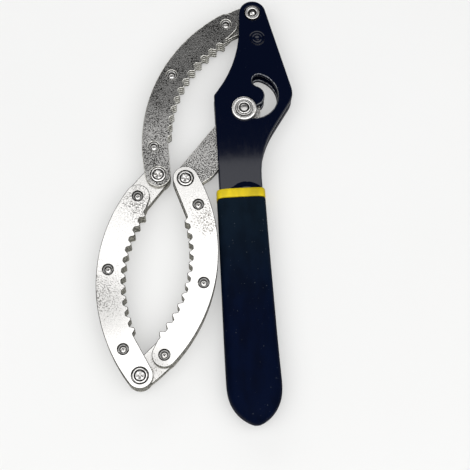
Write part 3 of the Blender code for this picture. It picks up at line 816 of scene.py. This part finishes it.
HANDLE_ROUND = 0.50          # rounding of the handle plates' edges
PRESS_HEIGHT = 0.42          # how far the neck's pressed step stands above the flat face
PRESS_PEAK = 118.9           # where the step's arched edge is highest
PRESS_PEAK_X = 2.6
PRESS_SAG = 3.4              # how much lower that edge is PRESS_HALF to either side
PRESS_HALF = 7.4
PRESS_SLOPE = 2.2            # length of the step's slope at its upper edge
PRESS_SIDE = 1.6             # and at its sides, which start PRESS_MARGIN inside the neck
PRESS_MARGIN = 0.7
CUT_ROWS = [112.6 + 0.45 * i for i in range(17)]        # where the neck's face gets points
CUT_COLUMNS = [-9.6 + 0.8 * i for i in range(25)]
PIVOT_HOLE = 4.0
SPACER_HOLE = 3.5


def neck_press(x, y):
    """Height of the pressed rise that runs under the ring, with an arched upper edge."""
    edge = PRESS_PEAK - PRESS_SAG * ((x - PRESS_PEAK_X) / PRESS_HALF) ** 2
    t = min(max((edge - y) / PRESS_SLOPE, 0.0), 1.0)
    side = min(max((NECK_RIGHT - PRESS_MARGIN - abs(x)) / PRESS_SIDE, 0.0), 1.0)
    return PRESS_HEIGHT * t * t * (3 - 2 * t) * side * side * (3 - 2 * side)


grid = [((0, y), (0, 1)) for y in CUT_ROWS] + [((x, 0), (1, 0)) for x in CUT_COLUMNS]
handle = handle_outline()
slot = slot_outline()
holes = [slot, circle(TOP_PIVOT, PIVOT_HOLE), circle(SPACER_PLACE, SPACER_HOLE)]
for side, face in ((1, "front"), (-1, "back")):
    mesh = slab([handle] + holes, FORK_HALF, HANDLE_TOP, HANDLE_ROUND, 4, press=neck_press,
                cuts=grid, slot_loop=slot)
    if side < 0:
        mesh.transform(Matrix.Scale(-1, 4, (0, 0, 1)))
        mesh.flip_normals()
    node = "handle_%s_plate" % face
    piece("look_" + node, mesh, "handle", (paint, paint, paint_edge, slot_rim, slot_wall), [node])

top_head = HANDLE_TOP + 0.6
top_crown = smooth_profile([(3.62, top_head - 0.15), (3.42, top_head), (2.40, top_head - 0.02),
                            (2.15, top_head - 0.30), (1.75, top_head - 0.95),
                            (1.10, top_head - 1.25), (0.50, top_head - 1.50),
                            (0.0, top_head - 1.55)])


# The top pivot's bright middle and ring are painted highlight; its dimple wall and outer edge are
# painted shade.
STAR_MIDDLE = 1.05                      # radius of the top pivot's bright middle
STAR_RING = (2.2, 3.55)                 # its bright ring, inner and outer radius


def star_marks(radius, angle):
    """Three punched marks in the wall of the top pivot's dimple."""
    if radius > 2.1 or radius < 0.1:
        return 0.0
    reach = math.exp(-((radius - 1.2) / 0.55) ** 2)
    return 0.35 * reach * (0.5 + 0.5 * math.cos(3 * angle + 1.0)) ** 2


def star_zone(radius, angle):
    """Painted highlight on the flat ring and the middle, painted shade on the wall between them and
    outside the ring.
    """
    ringed = STAR_RING[0] < radius < STAR_RING[1]
    return PAINTED_HIGHLIGHT if radius < STAR_MIDDLE or ringed else PAINTED_SHADE


top_mesh = turned(head_profile(*PIVOT_RIVET, HANDLE_TOP - 0.7, top_crown), 64, star_marks,
                  star_zone)
piece("look_top_pivot_rivet", top_mesh, "handle", pivot_steels,
      ["top_pivot_rivet"], TOP_PIVOT)
spacer_crown = smooth_profile([(3.36, HANDLE_TOP - 0.06), (2.6, HANDLE_TOP - 0.05),
                               (2.3, HANDLE_TOP - 0.16), (2.0, HANDLE_TOP - 0.05),
                               (1.2, HANDLE_TOP - 0.03), (0.8, HANDLE_TOP - 0.20),
                               (0.0, HANDLE_TOP - 0.34)])
spacer_mesh = turned(head_profile(*SPACER_RIVET, HANDLE_TOP - 0.7, spacer_crown, 0.06), 48)
piece("look_fork_spacer_rivet", spacer_mesh, "handle", paint, ["fork_spacer_rivet"],
      SPACER_PLACE)
reach = FORK_HALF - GAP / 2
tube = [(2.6, -reach), (SPACER_RADIUS - 0.3, -reach), (SPACER_RADIUS, -reach + 0.3),
        (SPACER_RADIUS, reach - 0.3), (SPACER_RADIUS - 0.3, reach), (2.6, reach)]
piece("look_fork_spacer", turned(tube), "handle", paint, ["fork_spacer"], SPACER_PLACE)
for name in ("tang_upper_rivet", "tang_lower_rivet"):
    frame["nodes"][name].material_slots[0].material = grey_head


# ---- grip and ring -------------------------------------------------------------------------------
def squircle(half_width, half_height, power, y, lean=0.0, count=96):
    """Ring of points on a rounded rectangle in the plane of one y, moved sideways by lean."""
    ring = []
    for i in range(count):
        angle = 2 * math.pi * (i + 0.5) / count
        c, s = math.cos(angle), math.sin(angle)
        x = math.copysign(abs(c) ** (2 / power), c) * half_width
        z = math.copysign(abs(s) ** (2 / power), s) * half_height
        ring.append((x + lean, y, z))
    return ring


def grip_section(y):
    """Half width, half height, squareness and sideways lean of the grip at y."""
    along = max(0.0, (GRIP_END - y) / GRIP_END)
    swell = min(1.0, (GRIP_TOP - y) / (GRIP_TOP - GRIP_END)) ** SWELL_POWER
    round_in = (1 - along ** END_WIDTH_POWERS[0]) ** END_WIDTH_POWERS[1]
    width = (GRIP_TOP_HALF_WIDTH + GRIP_SWELL * swell) * round_in
    height = HALF_HEIGHT * (1 - along ** END_HEIGHT_POWERS[0]) ** END_HEIGHT_POWERS[1]
    square = max(0.0, (y - SQUARING_START) / (GRIP_TOP - SQUARING_START))
    power = BODY_SQUARENESS + (TOP_SQUARENESS - BODY_SQUARENESS) * square
    lean = TIP_LEAN * max(0.0, (LEAN_START - y) / LEAN_START) ** 2
    return width, height, power, lean


END_STEPS = 22
FIRST_STATION = 0.35                    # the grip's tip is a little flat
BODY_STEP = 2.4
BODY_STEPS = 38
MOUTH_ROUND = 0.30                      # softening of the rim of the grip's mouth
stations = [max(GRIP_END * (1 - math.cos(math.pi / 2 * i / END_STEPS)), FIRST_STATION)
            for i in range(1, END_STEPS)]
stations += [GRIP_END + BODY_STEP * i for i in range(BODY_STEPS)]
stations += [GRIP_TOP - 0.5, GRIP_TOP - 0.2, GRIP_TOP - 0.05, GRIP_TOP]
rings = []
for y in stations:
    width, height, power, lean = grip_section(y)
    drop = MOUTH_ROUND * max(0.0, 1 - (GRIP_TOP - y) / 0.5) ** 2
    rings.append(squircle(width - drop, height - drop, power, y, lean))
clear = HANDLE_TOP + GAP
cavity = [(GRIP_TOP, CAVITY_MOUTH_HALF), (CAVITY_TOP, CAVITY_HALF), (80, CAVITY_HALF),
          (50, CAVITY_HALF), (29, CAVITY_HALF), (20, 5.5), (15.8, 2.4)]
for y, half in cavity:
    rings.append(squircle(half, clear, MOUTH_SQUARENESS, y))
piece("look_grip_sleeve", loft(rings), "handle", grip_vinyl, ["grip_sleeve"])

band = []
for y, inset in ((GRIP_TOP + GAP, -0.22), (GRIP_TOP + 0.42, -0.02), (GRIP_TOP + 0.7, 0.1),
                 (GRIP_TOP + 1.6, 0.13), (RING_TOP - 1.4, 0.13), (RING_TOP - 0.45, 0.08),
                 (RING_TOP - 0.15, -0.05), (RING_TOP, -0.26)):
    band.append(squircle(GRIP_TOP_HALF_WIDTH + inset, HALF_HEIGHT - 0.1 + inset, TOP_SQUARENESS, y))
mouth = HANDLE_TOP + PRESS_HEIGHT + 0.15
for y in (RING_TOP, NECK_TOP, GRIP_TOP + GAP):
    band.append(squircle(RING_MOUTH_HALF, mouth, MOUTH_SQUARENESS, y))
piece("look_grip_ring", loft(band, closed=True), "handle", ring_vinyl, ["grip_ring"])


# ---- floor, light and camera ---------------------------------------------------------------------
FLOOR_HALF = 4.0            # metres, as are the places and sizes of the lights and the camera


def pale_floor():
    n = Nodes("pale_floor")
    cloud = n.noise(160.0, 2.0, 0.5)
    n.set(Base_Color=n.mix(n.ramp(cloud, 0.3, 0.7), (0.51, 0.51, 0.507), (0.50, 0.50, 0.495)),
          Roughness=0.9)
    n.shader.inputs["Emission Color"].default_value = (1.0, 1.0, 0.99, 1)
    n.shader.inputs["Emission Strength"].default_value = 0.34
    n.shader.inputs["Specular IOR Level"].default_value = 0.1
    return n.material


bm = bmesh.new()
bmesh.ops.create_grid(bm, x_segments=8, y_segments=8, size=FLOOR_HALF)
floor_mesh = bpy.data.meshes.new("floor")
bm.to_mesh(floor_mesh)
bm.free()
floor_mesh.materials.append(pale_floor())
floor = linked("floor", floor_mesh)

PANEL_HEIGHT = 1.5
PANEL_FAR_EDGE = 0.590               # the panel's edge on the head's side
PANEL_DEPTH = 3.2
PANEL_WIDTH = 4.2
PANEL_RADIANCE = 1.86
STRIP_WIDTH = 1.8
STRIP_DEPTH = 0.6
STRIP_PLACE = (-0.4, 2.0, 1.1)
STRIP_RADIANCE = 2.6


def area_light(name, width, depth, radiance, place):
    """A soft rectangular light that faces straight down."""
    light = bpy.data.lights.new(name, "AREA")
    light.shape = "RECTANGLE"
    light.size = width
    light.size_y = depth
    light.energy = radiance * math.pi * width * depth
    made = linked(name, light)
    made.location = place
    return made


area_light("overhead_panel", PANEL_WIDTH, PANEL_DEPTH, PANEL_RADIANCE,
           (0, PANEL_FAR_EDGE - PANEL_DEPTH / 2, PANEL_HEIGHT))
far_strip = area_light("far_strip", STRIP_WIDTH, STRIP_DEPTH, STRIP_RADIANCE, STRIP_PLACE)
towards_part = -Vector(far_strip.location)
far_strip.rotation_euler = towards_part.to_track_quat("-Z", "Y").to_euler()

HORIZON_STRENGTH = 0.30                 # of the world's light, which falls to ZENITH_STRENGTH
ZENITH_STRENGTH = 0.06                  # where the direction's upward part reaches FADE_END
FADE_END = 0.72
world = bpy.data.worlds.new("studio")
bpy.context.scene.world = world
world.use_nodes = True
tree = world.node_tree
direction = tree.nodes.new("ShaderNodeTexCoord")
split = tree.nodes.new("ShaderNodeSeparateXYZ")
rise = tree.nodes.new("ShaderNodeMapRange")
for key, number in zip(("From Min", "From Max", "To Min", "To Max"),
                       (0.0, FADE_END, HORIZON_STRENGTH, ZENITH_STRENGTH)):
    rise.inputs[key].default_value = number
background = tree.nodes["Background"]
tree.links.new(direction.outputs["Generated"], split.inputs[0])
tree.links.new(split.outputs["Z"], rise.inputs["Value"])
tree.links.new(rise.outputs["Result"], background.inputs["Strength"])
background.inputs["Color"].default_value = (0.95, 0.97, 1.0, 1)
seen = tree.nodes.new("ShaderNodeBackground")
seen.inputs["Color"].default_value = (0.9, 0.9, 0.895, 1)
path = tree.nodes.new("ShaderNodeLightPath")
choose = tree.nodes.new("ShaderNodeMixShader")
tree.links.new(path.outputs["Is Camera Ray"], choose.inputs[0])
tree.links.new(background.outputs[0], choose.inputs[1])
tree.links.new(seen.outputs[0], choose.inputs[2])
tree.links.new(choose.outputs[0], tree.nodes["World Output"].inputs["Surface"])
bpy.context.scene.view_settings.view_transform = "Standard"

CAMERA_PLACE = (-0.00925, -0.18905, 0.56735)
CAMERA_TURNS = (("Z", -3.61), ("Y", -1.60), ("X", 17.33))      # degrees, in this order
FOCAL_LENGTH = 92.2                     # millimetres, like the sensor's width
SENSOR_WIDTH = 36.0
camera_data = bpy.data.cameras.new("camera")
camera_data.lens = FOCAL_LENGTH
camera_data.sensor_width = SENSOR_WIDTH
camera_data.clip_start = 0.01
camera = linked("camera", camera_data)
camera_matrix = Matrix.Translation(CAMERA_PLACE)
for axis, degrees in CAMERA_TURNS:
    camera_matrix = camera_matrix @ Matrix.Rotation(math.radians(degrees), 4, axis)
camera.matrix_world = camera_matrix
bpy.context.scene.camera = camera
